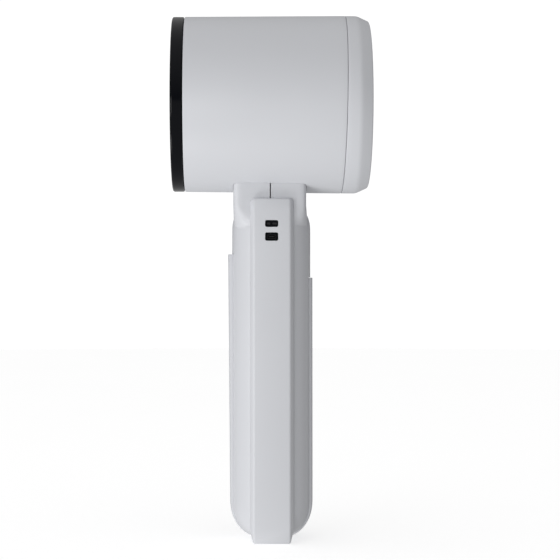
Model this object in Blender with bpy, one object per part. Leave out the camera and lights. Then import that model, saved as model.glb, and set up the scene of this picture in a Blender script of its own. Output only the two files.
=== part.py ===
"""Cordless fabric shaver, modelled in metres with +Z up.

The head is a barrel along X with the cutter at -X and the lint bin at +X.
The handle stands below it, and the origin is on the floor under the head.
"""

import math

import bmesh
import bpy

MM = 0.001
GAP = 0.3 * MM

# Head
HEAD_Z = 147.7 * MM
HEAD_HALF = 33.15 * MM
BARREL_FRONT_X = -29.0 * MM
BARREL_FRONT_R = 29.65 * MM
BARREL_REAR_R = 30.1 * MM
BARREL_WALL = 2.2 * MM
PARTING_X = 24.7 * MM
PARTING_LEAN = math.tan(math.radians(1.0))
ROUND = 56
INNER_ROUND = 32

# Cutter and motor
FOIL_R = 26.8 * MM
FOIL_X = -32.1 * MM
FOIL_THICK = 0.4 * MM
BLADES = 6
BLADE_FRONT_X = -31.4 * MM
BLADE_REACH = 23.2 * MM
BLADE_REAR_X = -28.9 * MM
BLADE_LEAN = 0.9 * MM
SHAFT_R = 1.15 * MM
SHAFT_X = (-28.9 * MM, 4.2 * MM)
VANES = 8
IMPELLER_X = (-25.5 * MM, -21.6 * MM)
MOTOR_R = 11.9 * MM
MOTOR_X = (-18.2 * MM, 3.0 * MM)
BULKHEAD_X = (-20.5 * MM, -18.5 * MM)
MOTOR_WALL = 0.9 * MM
BIN_X = (13.4 * MM, 27.5 * MM)
BIN_R = 26.3 * MM
BIN_MOUTH_R = 15.0 * MM
CAP_WALL = 2.0 * MM
CAP_BEND = (28.2 * MM, 4.0 * MM)
CAP_SLOPE = math.radians(27)
SCREW_SPREAD = 8.5 * MM
SCREW_HOLE_R = 1.3 * MM

# Handle
HANDLE_X = 0.3 * MM
BODY_HALF_X = 13.3 * MM
BODY_HALF_Y = 14.0 * MM
BODY_POWER = 2.3
BODY_LOW_Z = 0.25 * MM
BODY_TOP_Z = 115.3 * MM
LOW_END = 13.2 * MM
DEEP_END = 4.0 * MM
TOP_END = 11.0 * MM
SHELL_WALL = 2.2 * MM
SEAM_X = -0.2 * MM
NECK_HALF = (12.25 * MM, 12.1 * MM)
NECK_X = -0.35 * MM
NECK_TOP_Z = 123.6 * MM
NECK_LOW_Z = 103.5 * MM
NECK_SQUARE_Z = 113.0 * MM
NECK_POWER = 14.0
NECK_SPREAD = (0.35 * MM, 0.9 * MM)
TRIM_FACE_HALF_X = 6.2 * MM
TRIM_FOOT_HALF_X = 7.3 * MM
TRIM_FACE_Y = 15.0 * MM
TRIM_SLOPE_Y = 2.0 * MM
WINDOW_WAY = ((-3.2 * MM, -16 * MM, 99.5 * MM), (3.4 * MM, -9 * MM, 109 * MM))
WINDOW_X = 0.2 * MM
WINDOWS = {"upper": (106.8 * MM, 4.4 * MM, 2.3 * MM), "lower": (102.45 * MM, 4.4 * MM, 2.8 * MM)}
BUTTON_Z = 97.6 * MM
BUTTON_R = 5.5 * MM
SCREWS = {"upper": (85.0 * MM, 1.5 * MM, -11.4 * MM), "lower": (9.2 * MM, 1.5 * MM, -9.6 * MM)}
BATTERY = (9.1 * MM, 14.6 * MM, 79.4 * MM)
TAB_TOP = 0.55 * MM
PAD_LOW_Z = 1.65 * MM
PAD_SUNK = 0.9 * MM
PADS = {
    "front": {"side": -1, "high": 96.7 * MM, "reach": math.radians(15), "proud": (0.6 * MM, 1.4 * MM)},
    "rear": {"side": 1, "high": 88.8 * MM, "reach": math.radians(20), "proud": (0.8 * MM, 0.75 * MM)},
}

COLOURS = {
    "white_plastic": ((0.60, 0.61, 0.64), 0.42, 0.0),
    "black_gloss": ((0.006, 0.007, 0.009), 0.18, 0.0),
    "black_plastic": ((0.02, 0.02, 0.022), 0.5, 0.0),
    "smoke_plastic": ((0.28, 0.30, 0.32), 0.25, 0.0),
    "steel": ((0.62, 0.62, 0.62), 0.28, 1.0),
    "copper": ((0.72, 0.38, 0.22), 0.35, 1.0),
    "rubber": ((0.03, 0.03, 0.03), 0.8, 0.0),
    "board_green": ((0.02, 0.16, 0.07), 0.5, 0.0),
    "battery_sleeve": ((0.08, 0.22, 0.42), 0.4, 0.0),
    "led_lens": ((0.75, 0.78, 0.72), 0.3, 0.0),
    "red_wire": ((0.55, 0.02, 0.02), 0.5, 0.0),
}


def material(name):
    found = bpy.data.materials.get(name)
    if found:
        return found
    colour, roughness, metallic = COLOURS[name]
    made = bpy.data.materials.new(name)
    made.use_nodes = True
    shader = made.node_tree.nodes["Principled BSDF"]
    shader.inputs["Base Color"].default_value = (*colour, 1.0)
    shader.inputs["Roughness"].default_value = roughness
    shader.inputs["Metallic"].default_value = metallic
    return made


def clear_scene():
    for old in list(bpy.data.objects):
        bpy.data.objects.remove(old, do_unlink=True)


def finish_mesh(name, bm, colour, location=(0, 0, 0), sharp=35):
    """Turns a bmesh into a placed object with outward faces."""
    bmesh.ops.recalc_face_normals(bm, faces=bm.faces)
    mesh = bpy.data.meshes.new(name)
    bm.to_mesh(mesh)
    bm.free()
    mesh.shade_smooth()
    mesh.set_sharp_from_angle(angle=math.radians(sharp))
    made = bpy.data.objects.new(name, mesh)
    made.location = location
    bpy.context.scene.collection.objects.link(made)
    if colour:
        mesh.materials.append(material(colour))
    else:
        made.hide_render = True
        made.display_type = "WIRE"
    return made


def loft_rings(bm, rings, closed=False):
    """Joins rings of points with quads, and fans the ends or closes the loop."""
    made = [[bm.verts.new(point) for point in ring] for ring in rings]
    pairs = list(zip(made, made[1:]))
    if closed:
        pairs.append((made[-1], made[0]))
    for low, high in pairs:
        count = max(len(low), len(high))
        for i in range(count):
            j = (i + 1) % count
            corners = [low[i % len(low)], low[j % len(low)], high[j % len(high)], high[i % len(high)]]
            bm.faces.new(list(dict.fromkeys(corners)))
    if not closed:
        for end in (made[0], made[-1]):
            if len(end) > 2:
                bm.faces.new(end)


def turned(name, profile, colour, at=(0, 0, HEAD_Z), axis="X", steps=ROUND, sharp=35):
    """Turns a section of (along, radius) points; a section off the axis makes a ring."""
    rings = []
    for along, radius in profile:
        count = steps if radius > 0 else 1
        ring = []
        for i in range(count):
            turn = 2 * math.pi * i / steps
            across = (radius * math.cos(turn), radius * math.sin(turn))
            point = (along, *across)
            if axis == "Z":
                point = (*across, along)
            if axis == "Y":
                point = (across[1], along, across[0])
            ring.append(point)
        rings.append(ring)
    bm = bmesh.new()
    loft_rings(bm, rings, closed=profile[0][1] > 0)
    return finish_mesh(name, bm, colour, at, sharp)


def tube_section(start, end, outer, inner):
    return [(start, inner), (start, outer), (end, outer), (end, inner)]


def rod(name, start, end, radius, colour, at=(0, 0, HEAD_Z), axis="X", steps=20):
    profile = [(start, 0), (start, radius), (end, radius), (end, 0)]
    return turned(name, profile, colour, at, axis, steps)


def block(name, low, high, colour, bevel=0.0, at=(0, 0, 0)):
    bm = bmesh.new()
    bmesh.ops.create_cube(bm, size=1.0)
    for vert in bm.verts:
        for i in range(3):
            vert.co[i] = (low[i] + high[i]) / 2 + vert.co[i] * (high[i] - low[i])
    if bevel:
        bmesh.ops.bevel(bm, geom=bm.edges, offset=bevel, segments=2, profile=0.5, affect="EDGES")
    return finish_mesh(name, bm, colour, at)


def prism(name, outline, low, high, colour, axis="Z", at=(0, 0, 0)):
    """Extrudes an outline of (u, v) points along an axis; X takes (y, z) and Y takes (x, z)."""
    def place(u, v, along):
        return {"X": (along, u, v), "Y": (u, along, v), "Z": (u, v, along)}[axis]
    bm = bmesh.new()
    loft_rings(bm, [[place(u, v, along) for u, v in outline] for along in (low, high)])
    return finish_mesh(name, bm, colour, at)


def combine(target, tool, operation="DIFFERENCE"):
    step = target.modifiers.new(f"{operation.lower()} {tool.name}", "BOOLEAN")
    step.operation = operation
    step.object = tool
    step.solver = "EXACT"
    tool.hide_render = True
    tool.display_type = "WIRE"
    return target


def rounded_rectangle(half_x, half_y, corner, centre=(0, 0), steps=5):
    points = []
    for quarter in range(4):
        sx = 1 if quarter in (0, 3) else -1
        sy = 1 if quarter in (0, 1) else -1
        for i in range(steps + 1):
            turn = math.pi / 2 * (quarter + i / steps)
            x = centre[0] + sx * (half_x - corner) + corner * math.cos(turn)
            y = centre[1] + sy * (half_y - corner) + corner * math.sin(turn)
            points.append((x, y))
    return points


def slot_outline(inner, outer, middle, width, steps=4):
    """An arc-shaped slot between two radii, centred on an angle."""
    angles = [middle + width * (i / steps - 0.5) for i in range(steps + 1)]
    points = [(outer * math.cos(a), outer * math.sin(a)) for a in angles]
    return points + [(inner * math.cos(a), inner * math.sin(a)) for a in reversed(angles)]


# ---------------------------------------------------------------- handle body shape

def end_factor(z, low, top, low_end, top_end, low_power, top_power):
    """How much of its full width the handle body has at a height, from 0 to 1."""
    factor = 1.0
    if z < low + low_end:
        factor = (1 - min(1, (low + low_end - z) / low_end) ** low_power) ** (1 / low_power)
    if z > top - top_end:
        factor = (1 - min(1, (z - top + top_end) / top_end) ** top_power) ** (1 / top_power)
    return factor


def body_half_sizes(z, grow=0.0):
    low, top = BODY_LOW_Z - grow, BODY_TOP_Z + grow
    wide = end_factor(z, low, top, LOW_END + grow, TOP_END + grow, 2.3, 2.5)
    deep = end_factor(z, low, top, DEEP_END + grow, TOP_END + grow, 2.2, 2.5)
    return (BODY_HALF_X + grow) * wide, (BODY_HALF_Y + grow) * deep


def power_point(half_x, half_y, turn, power=BODY_POWER, shift=HANDLE_X):
    """A point of the handle's section, which is a superellipse."""
    c, s = math.cos(turn), math.sin(turn)
    x = half_x * math.copysign(abs(c) ** (2 / power), c)
    y = half_y * math.copysign(abs(s) ** (2 / power), s)
    return shift + x, y


def body_heights(grow):
    low, top = BODY_LOW_Z - grow, BODY_TOP_Z + grow
    ends = [1 - math.cos(math.pi / 2 * i / 6) for i in range(7)]
    below = [low + (LOW_END + grow) * e for e in ends]
    above = [top - (TOP_END + grow) * e for e in reversed(ends)]
    below[0] += 0.02 * MM
    above[-1] -= 0.02 * MM
    return below + above


def handle_body(name, grow=0.0, steps=40):
    bm = bmesh.new()
    rings = []
    for z in body_heights(grow):
        half_x, half_y = body_half_sizes(z, grow)
        turns = [2 * math.pi * i / steps for i in range(steps)]
        rings.append([(*power_point(half_x, half_y, turn), z) for turn in turns])
    loft_rings(bm, rings)
    return finish_mesh(name, bm, None)


def neck(name, grow, high):
    """The neck is nearly square above and takes the handle's own section as it sinks into it."""
    bm = bmesh.new()
    rings = []
    levels = [NECK_LOW_Z + (NECK_SQUARE_Z - NECK_LOW_Z) * i / 5 for i in range(6)] + [high]
    for z in levels:
        share = min(1.0, (z - NECK_LOW_Z) / (NECK_SQUARE_Z - NECK_LOW_Z))
        half_x = NECK_HALF[0] + (1 - share) * NECK_SPREAD[0] + grow
        half_y = NECK_HALF[1] + (1 - share) * NECK_SPREAD[1] + grow
        power = BODY_POWER + (NECK_POWER - BODY_POWER) * share ** 2
        shift = NECK_X + (1 - share) * (HANDLE_X - NECK_X)
        turns = [2 * math.pi * (i + 0.5) / 32 for i in range(32)]
        rings.append([(*power_point(half_x, half_y, turn, power, shift), z) for turn in turns])
    loft_rings(bm, rings)
    return finish_mesh(name, bm, None)


# ---------------------------------------------------------------- head

def barrel_shell():
    front, rear, end = BARREL_FRONT_R, BARREL_REAR_R, PARTING_X - GAP / 2
    profile = [
        (BARREL_FRONT_X, front - BARREL_WALL),
        (BARREL_FRONT_X, front - 0.25 * MM),
        (BARREL_FRONT_X + 0.25 * MM, front),
        (end - 0.25 * MM, rear),
        (end, rear - 0.25 * MM),
        (end, rear - BARREL_WALL),
    ]
    made = turned("barrel_shell", profile, "white_plastic")
    lean_parting(made)
    return combine(made, neck("neck_hole", GAP, NECK_TOP_Z + 5 * MM))


def lean_parting(made):
    """Leans the parting plane between barrel and bin cap."""
    for vert in made.data.vertices:
        if abs(vert.co.x - PARTING_X) < 0.6 * MM:
            vert.co.x += PARTING_LEAN * vert.co.z


def front_ring():
    inner, bore = 25.6 * MM, FOIL_R + 0.4 * MM
    outer, rear = BARREL_FRONT_R - 0.05 * MM, BARREL_FRONT_X - GAP
    fillet = 0.6 * MM
    curve = []
    for i in range(5):
        turn = math.pi / 2 * i / 4
        x = -HEAD_HALF + fillet * (1 - math.sin(turn))
        curve.append((x, outer - fillet * (1 - math.cos(turn))))
    profile = [(-HEAD_HALF, inner + 0.3 * MM)] + curve[::-1]
    profile += [(rear, outer), (rear, bore), (FOIL_X - GAP, bore), (FOIL_X - GAP, inner)]
    return turned("front_ring", profile, "black_gloss")


def foil_guard():
    made = turned("foil_guard", [
        (FOIL_X, 0), (FOIL_X, FOIL_R), (FOIL_X + FOIL_THICK, FOIL_R), (FOIL_X + FOIL_THICK, 0),
    ], "steel", steps=40)
    holes = []
    for ring in range(1, 4):
        for centre in circle(6.6 * MM * ring, steps=6 * ring):
            holes.append(circle(1.6 * MM, centre, 6))
    return combine(made, through_holes("foil_holes", holes, FOIL_X - MM, FOIL_X + MM))


def foil_frame():
    start = FOIL_X + FOIL_THICK + GAP
    return turned("foil_frame", tube_section(start, -27.8 * MM, 26.9 * MM, 24.6 * MM), "black_plastic",
                  steps=40)


def blade_hub():
    front, rear, pocket = -31.2 * MM, -26.9 * MM, -29.4 * MM
    made = turned("blade_hub", [
        (front, 0), (front, 4.4 * MM), (front + 0.6 * MM, 5.0 * MM), (rear, 5.0 * MM),
        (rear, 3.7 * MM), (pocket, 3.7 * MM), (pocket, SHAFT_R + GAP), (-30.4 * MM, SHAFT_R + GAP),
        (-30.4 * MM, 0),
    ], "black_plastic", steps=18)
    for i in range(BLADES):
        arm = block(f"hub_arm_{i + 1}", (-28.6 * MM, -1.6 * MM, 4.2 * MM),
                    (-27.4 * MM, 1.6 * MM, BLADE_REACH), None, at=(0, 0, HEAD_Z))
        arm.rotation_euler.x = 2 * math.pi * i / BLADES
        combine(made, arm, "UNION")
    return made


def blades():
    """Steel blades, each leaning into the turn on its own arm."""
    made = []
    outline = [(BLADE_FRONT_X, -0.25 * MM - BLADE_LEAN), (BLADE_FRONT_X, 0.15 * MM - BLADE_LEAN),
               (BLADE_REAR_X, 0.3 * MM + BLADE_LEAN), (BLADE_REAR_X, -0.3 * MM + BLADE_LEAN)]
    for i in range(BLADES):
        bm = bmesh.new()
        loft_rings(bm, [[(x, y, z) for x, y in outline] for z in (5.4 * MM, BLADE_REACH)])
        blade = finish_mesh(f"blade_{i + 1}", bm, "steel", (0, 0, HEAD_Z))
        blade.rotation_euler.x = 2 * math.pi * i / BLADES
        made.append(blade)
    return made


def hub_spring():
    turns, wire, radius, steps, sides = 3.5, 0.28 * MM, 2.5 * MM, 12, 5
    start, end = -29.1 * MM + wire, -25.8 * MM - wire
    rings = []
    for i in range(int(turns * steps) + 1):
        turn = 2 * math.pi * i / steps
        along = start + (end - start) * i / (turns * steps)
        ring = []
        for k in range(sides):
            a = 2 * math.pi * k / sides
            r = radius + wire * math.cos(a)
            ring.append((along + wire * math.sin(a), r * math.cos(turn), r * math.sin(turn)))
        rings.append(ring)
    bm = bmesh.new()
    loft_rings(bm, rings)
    return finish_mesh("hub_spring", bm, "steel", (0, 0, HEAD_Z))


def impeller():
    bore, (front, rear), radius = SHAFT_R + GAP, IMPELLER_X, 21 * MM
    made = turned("impeller", [
        (front, bore), (front, 3.6 * MM), (rear - 1.2 * MM, 4.4 * MM),
        (rear - 1.2 * MM, radius), (rear, radius), (rear, bore),
    ], "black_plastic", steps=24)
    for i in range(VANES):
        vane = block(f"impeller_vane_{i + 1}", (front + GAP, -0.5 * MM, 3.9 * MM),
                     (rear - 0.8 * MM, 0.5 * MM, radius - 0.6 * MM), None, at=(0, 0, HEAD_Z))
        vane.rotation_euler.x = 2 * math.pi * (i + 0.5) / VANES
        combine(made, vane, "UNION")
    return made


def drive_shaft():
    return rod("drive_shaft", *SHAFT_X, SHAFT_R, "steel")


def circle(radius, centre=(0, 0), steps=10):
    turns = [2 * math.pi * i / steps for i in range(steps)]
    return [(centre[0] + radius * math.cos(a), centre[1] + radius * math.sin(a)) for a in turns]


def through_holes(name, outlines, low, high):
    """One cutter for many separate holes along X, from their (y, z) outlines."""
    bm = bmesh.new()
    for outline in outlines:
        loft_rings(bm, [[(x, y, z) for y, z in outline] for x in (low, high)])
    return finish_mesh(name, bm, None, (0, 0, HEAD_Z))


def motor_bulkhead():
    made = turned("motor_bulkhead", tube_section(*BULKHEAD_X, 27.0 * MM, 4.6 * MM), "black_plastic",
                  steps=36)
    slots = [slot_outline(14.5 * MM, 24 * MM, math.pi / 4 + math.pi / 2 * i, 1.15) for i in range(4)]
    holes = [circle(SCREW_HOLE_R, (side * SCREW_SPREAD, 0)) for side in (1, -1)]
    cutter = through_holes("bulkhead_holes", slots + holes, BULKHEAD_X[0] - MM, BULKHEAD_X[1] + MM)
    return combine(made, cutter)


def motor():
    (start, end), wall, bush = MOTOR_X, MOTOR_WALL, 3.0 * MM
    can = turned("motor_can", [
        (start, bush + GAP), (start, MOTOR_R - 0.8 * MM), (start + 0.8 * MM, MOTOR_R), (end, MOTOR_R),
        (end, MOTOR_R - wall), (start + wall, MOTOR_R - wall), (start + wall, bush + GAP),
    ], "steel", steps=INNER_ROUND)
    holes = [circle(SCREW_HOLE_R, (side * SCREW_SPREAD, 0)) for side in (1, -1)]
    combine(can, through_holes("thread_holes", holes, start - MM, start + 2 * MM))
    turned("motor_front_bush", tube_section(-20.2 * MM, -17.0 * MM, bush, SHAFT_R + GAP),
           "copper", steps=16)
    motor_end_cap(end + GAP, end)
    armature()
    turned("commutator", tube_section(-1.6 * MM, 2.4 * MM, 3.2 * MM, SHAFT_R + GAP), "copper", steps=16)


def motor_end_cap(cap, end):
    """A nylon cap with a spigot inside the can and a pocket for the shaft's end."""
    return turned("motor_end_cap", [
        (cap + 2.8 * MM, 0), (cap + 2.8 * MM, 2.8 * MM), (cap + 2 * MM, 3.2 * MM),
        (cap + 2 * MM, MOTOR_R), (cap, MOTOR_R), (cap, 10.7 * MM), (end - 2.5 * MM, 10.7 * MM),
        (end - 2.5 * MM, 9.9 * MM), (cap, 9.9 * MM), (cap, SHAFT_R + GAP),
        (cap + 1.3 * MM, SHAFT_R + GAP), (cap + 1.3 * MM, 0),
    ], "black_plastic", steps=INNER_ROUND)


def armature():
    made = turned("armature", tube_section(-14.5 * MM, -3.0 * MM, 9.6 * MM, SHAFT_R + GAP), "steel",
                  steps=24)
    for i in range(3):
        slot = block(f"armature_slot_{i + 1}", (-16 * MM, -1.4 * MM, 5.2 * MM),
                     (0, 1.4 * MM, 12 * MM), None, at=(0, 0, HEAD_Z))
        slot.rotation_euler.x = 2 * math.pi * i / 3
        combine(made, slot)
    return made


def motor_small_parts():
    for i, side in enumerate((1, -1)):
        turned(f"motor_screw_{i + 1}", [
            (-21.2 * MM, 0), (-21.2 * MM, 1.9 * MM), (-20.8 * MM, 1.9 * MM),
            (-20.8 * MM, 1.0 * MM), (-16.4 * MM, 1.0 * MM), (-16.4 * MM, 0),
        ], "steel", (0, side * SCREW_SPREAD, HEAD_Z), steps=12)
        block(f"motor_terminal_{i + 1}", (5.6 * MM, side * 6 * MM - 1.2 * MM, -0.25 * MM),
              (8.6 * MM, side * 6 * MM + 1.2 * MM, 0.25 * MM), "copper",
              at=(0, 0, HEAD_Z - 6 * MM))


# ---------------------------------------------------------------- lint bin

def lint_bin_cap():
    """The cap turns in over a soft bend to a sloping rim band and a flat end face."""
    rear, start = BARREL_REAR_R, PARTING_X + GAP / 2
    bend_x, bend = CAP_BEND
    curve = []
    for i in range(5):
        turn = CAP_SLOPE * i / 4
        curve.append((bend_x + bend * math.sin(turn), rear - bend * (1 - math.cos(turn))))
    run = HEAD_HALF - 0.5 * MM - curve[-1][0]
    edge = (curve[-1][0] + run, curve[-1][1] - run * math.tan(CAP_SLOPE))
    face = [(HEAD_HALF - 0.1 * MM, edge[1] - 0.5 * MM), (HEAD_HALF, edge[1] - 1.2 * MM)]
    inside = [(HEAD_HALF - CAP_WALL, 0), (HEAD_HALF - CAP_WALL, rear - 5.0 * MM),
              (29.5 * MM, rear - CAP_WALL), (start, rear - CAP_WALL)]
    outside = [(start, rear - 0.25 * MM), (start + 0.25 * MM, rear), *curve, edge, *face, (HEAD_HALF, 0)]
    made = turned("lint_bin_cap", inside + outside, "white_plastic", sharp=20)
    lean_parting(made)
    return made


def lint_bin_cup():
    (start, end), wall = BIN_X, 1.2 * MM
    return turned("lint_bin_cup", [
        (start, BIN_MOUTH_R), (start, BIN_R - MM), (start + MM, BIN_R), (end, BIN_R),
        (end, BIN_R - wall), (start + wall, BIN_R - wall), (start + wall, BIN_MOUTH_R),
    ], "smoke_plastic", steps=40)


def bin_seal():
    section = []
    for i in range(6):
        turn = 2 * math.pi * i / 6
        section.append((21.0 * MM + 0.4 * MM * math.cos(turn), 27.0 * MM + 0.4 * MM * math.sin(turn)))
    return turned("bin_seal", section, "rubber", steps=40)


# ---------------------------------------------------------------- handle

def handle_cavity():
    """All that is cut from the handle: its hollow, with two screw posts left, and its openings."""
    cavity = handle_body("handle_cavity", -SHELL_WALL, 28)
    combine(cavity, neck("neck_cavity", -SHELL_WALL, NECK_TOP_Z + 5 * MM), "UNION")
    for which, (z, y, _) in SCREWS.items():
        combine(cavity, rod(f"post_{which}", -14 * MM, 14 * MM, 3.2 * MM, None, (0, y, z), steps=24))
    for which, (z, y, head) in SCREWS.items():
        way = turned(f"screw_way_{which}", [
            (-6 * MM, 0), (-6 * MM, 2.5 * MM), (1.4 * MM, 2.5 * MM), (1.4 * MM, SCREW_HOLE_R),
            (19.5 * MM, SCREW_HOLE_R), (19.5 * MM, 0),
        ], None, (head, y, z), steps=12)
        combine(cavity, way, "UNION")
    combine(cavity, block("window_way", *WINDOW_WAY, None), "UNION")
    button_hole = rod("button_hole", 8 * MM, 20 * MM, BUTTON_R + GAP, None, (0, 0, BUTTON_Z), steps=28)
    return combine(cavity, button_hole, "UNION")


def pad_grid(which, gap, outer, columns=8):
    """One face of a grip pad, as a grid of points that follows the handle's surface."""
    spec = PADS[which]
    low, high = PAD_LOW_Z - gap, spec["high"] + gap
    reach = spec["reach"] + gap / BODY_HALF_X
    curved = BODY_LOW_Z + LOW_END
    levels = [low + (curved - low) * (1 - math.cos(math.pi / 2 * i / 6)) for i in range(7)]
    levels += [curved + (high - curved) * i / 4 for i in range(1, 5)]
    grid = []
    for z in levels:
        share = (z - PAD_LOW_Z) / (spec["high"] - PAD_LOW_Z)
        proud = spec["proud"][0] + (spec["proud"][1] - spec["proud"][0]) * share + 3 * gap
        depth = proud if outer else -PAD_SUNK - gap
        line = []
        for column in range(columns + 1):
            x, y = power_point(*body_half_sizes(z), reach * (2 * column / columns - 1))
            line.append((HANDLE_X + spec["side"] * (x - HANDLE_X + depth), y, z))
        grid.append(line)
    return grid


def pad(which, name, colour="white_plastic", gap=0.0):
    """A pad between its two faces; grown by a gap, it cuts the recess that it sits in."""
    bm = bmesh.new()
    grids = [pad_grid(which, gap, outer) for outer in (False, True)]
    inner, outer = [[[bm.verts.new(p) for p in line] for line in grid] for grid in grids]
    rows, columns = len(inner) - 1, len(inner[0]) - 1
    for grid in (inner, outer):
        for r in range(rows):
            for c in range(columns):
                bm.faces.new([grid[r][c], grid[r][c + 1], grid[r + 1][c + 1], grid[r + 1][c]])
    for r in range(rows):
        for c in (0, columns):
            bm.faces.new([inner[r][c], inner[r + 1][c], outer[r + 1][c], outer[r][c]])
    for c in range(columns):
        for r in (0, rows):
            bm.faces.new([inner[r][c], inner[r][c + 1], outer[r][c + 1], outer[r][c]])
    return finish_mesh(name, bm, colour)


def handle_shells(cavity):
    """The front and rear halves, cut from one hollow body at the seam."""
    for which, side in (("front", -1), ("rear", 1)):
        shell = handle_body(f"handle_{which}_shell")
        shell.data.materials.append(material("white_plastic"))
        shell.hide_render = False
        shell.display_type = "TEXTURED"
        combine(shell, neck(f"neck_{which}", 0, NECK_TOP_Z), "UNION")
        combine(shell, cavity)
        seam = SEAM_X + side * GAP / 2
        near, far = sorted((seam, seam - side * 30 * MM))
        beyond = block(f"beyond_{which}", (near, -40 * MM, -10 * MM), (far, 40 * MM, 140 * MM), None)
        combine(shell, beyond)
        combine(shell, pad(which, f"{which}_pad_recess", None, GAP))


def handle_screws():
    for which, (z, y, head) in SCREWS.items():
        turned(f"handle_screw_{which}", [
            (0, 0), (0.2 * MM, 2.1 * MM), (1.1 * MM, 2.1 * MM), (1.1 * MM, 1.0 * MM),
            (18.0 * MM, 1.0 * MM), (19.0 * MM, 0),
        ], "steel", (head, y, z), steps=12)


def trim_outline(side, inset):
    """The side trim's outline in (y, z): its face, its leaning top and its flat foot."""
    face, top, low = TRIM_FACE_Y - inset, BODY_TOP_Z - 0.5 * inset, 2 * inset
    points = [(face - 0.9 * MM, low), (face - 0.35 * MM, 5 * MM), (face, 12 * MM), (face, 99 * MM),
              (face - 0.25 * MM, 107 * MM), (face - 0.9 * MM, top), (8 * MM, top), (8 * MM, 20 * MM),
              (9 * MM, 12 * MM), (9 * MM, low)]
    return [(side * y, z) for y, z in points]


def side_trim(name, side, around):
    """A strip with sloping edges that stands on the handle's side and ends in a flat foot."""
    sections = [(-TRIM_FOOT_HALF_X, TRIM_SLOPE_Y), (-TRIM_FACE_HALF_X, 0),
                (TRIM_FACE_HALF_X, 0), (TRIM_FOOT_HALF_X, TRIM_SLOPE_Y)]
    bm = bmesh.new()
    loft_rings(bm, [[(HANDLE_X + x, y, z) for y, z in trim_outline(side, inset)] for x, inset in sections])
    made = finish_mesh(name, bm, "white_plastic")
    for solid in around:
        combine(made, solid)
    return made


def trims():
    around = [handle_body("body_clearance", GAP), neck("neck_clearance", GAP, NECK_TOP_Z + 5 * MM)]
    near = side_trim("side_trim_near", -1, around)
    side_trim("side_trim_far", 1, around)
    for which, (z, width, height) in WINDOWS.items():
        outline = rounded_rectangle(width / 2, height / 2, 0.5 * MM, (WINDOW_X, z), 3)
        combine(near, prism(f"window_{which}", outline, -20 * MM, -8 * MM, None, "Y"))


def window_inserts():
    z, width, height = WINDOWS["upper"]
    block("indicator_window", (WINDOW_X - width / 2 + GAP, -14.1 * MM, z - height / 2 + GAP),
          (WINDOW_X + width / 2 - GAP, -13.0 * MM, z + height / 2 - GAP), "smoke_plastic", 0.15 * MM)
    for i, (low, high) in enumerate(((-1.5 * MM, -0.5 * MM), (0.3 * MM, 1.7 * MM))):
        block(f"indicator_led_{i + 1}", (WINDOW_X + low, -12.0 * MM, z - 0.7 * MM),
              (WINDOW_X + high, -10.0 * MM, z + 0.7 * MM), "led_lens", 0.1 * MM)
    z, width, height = WINDOWS["lower"]
    socket = block("charge_socket", (WINDOW_X - width / 2 + GAP, -14.0 * MM, z - height / 2 + GAP),
                   (WINDOW_X + width / 2 - GAP, -10.0 * MM, z + height / 2 - GAP), "black_plastic")
    inset = 0.5 * MM + GAP
    pocket = block("socket_pocket", (WINDOW_X - width / 2 + inset, -15.0 * MM, z - height / 2 + inset),
                   (WINDOW_X + width / 2 - inset, -11.4 * MM, z + height / 2 - inset), None)
    return combine(socket, pocket)


def electronics():
    block("control_board", (-5.3 * MM, -9.7 * MM, 90 * MM), (5.7 * MM, -8.9 * MM, 109 * MM), "board_green")
    block("switch_body", (3.7 * MM, -8.6 * MM, BUTTON_Z - 3 * MM), (7.2 * MM, 3 * MM, BUTTON_Z + 3 * MM),
          "black_plastic", 0.2 * MM)
    radius, low, high = BATTERY
    turned("battery_cell", [
        (low, 0), (low, radius - 0.6 * MM), (low + 0.6 * MM, radius), (high - 1.6 * MM, radius),
        (high - MM, radius - 0.6 * MM), (high - MM, 3 * MM), (high, 3 * MM), (high, 0),
    ], "battery_sleeve", (HANDLE_X, 0, 0), "Z", 24)
    for end, foot, head, reach in (
        ("top", high + GAP, high + TAB_TOP, 3 * MM),
        ("bottom", low - TAB_TOP, low - GAP, 6 * MM),
    ):
        block("battery_tab_" + end, (-2.5 * MM, -6 * MM, foot), (3.1 * MM, reach, head), "steel")


def power_button():
    """A push button whose face is cut to the handle's own surface."""
    made = turned("power_button", [
        (8.2 * MM, 0), (8.2 * MM, 1.5 * MM), (8.9 * MM, 1.5 * MM), (8.9 * MM, 6.3 * MM),
        (9.6 * MM, 6.3 * MM), (9.6 * MM, BUTTON_R), (16 * MM, BUTTON_R), (16 * MM, 0),
    ], "white_plastic", (0, 0, BUTTON_Z), steps=28)
    return combine(made, handle_body("button_face"), "INTERSECT")


def motor_leads():
    """Two leads from the board, up through the neck to the motor's terminals."""
    for i, (side, colour) in enumerate(((1, "red_wire"), (-1, "black_plastic"))):
        route = [(side * 2.5, -7.6, 108), (side * 2.6, -7.0, 116), (2 + side * 2.0, -5.5 + side * 2, 124),
                 (6.5, side * 5.5, 133), (9.6, side * 6.0, 138), (9.9, side * 6.0, 141.7)]
        curve = bpy.data.curves.new(f"motor_lead_{i + 1}", "CURVE")
        curve.dimensions = "3D"
        curve.bevel_depth = 0.5 * MM
        curve.bevel_resolution = 2
        curve.use_fill_caps = True
        points = smooth_route(route)
        line = curve.splines.new("POLY")
        line.points.add(len(points) - 1)
        for point, co in zip(line.points, points):
            point.co = (co[0] * MM, co[1] * MM, co[2] * MM, 1.0)
        made = bpy.data.objects.new(f"motor_lead_{i + 1}", curve)
        made.data.materials.append(material(colour))
        bpy.context.scene.collection.objects.link(made)


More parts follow.
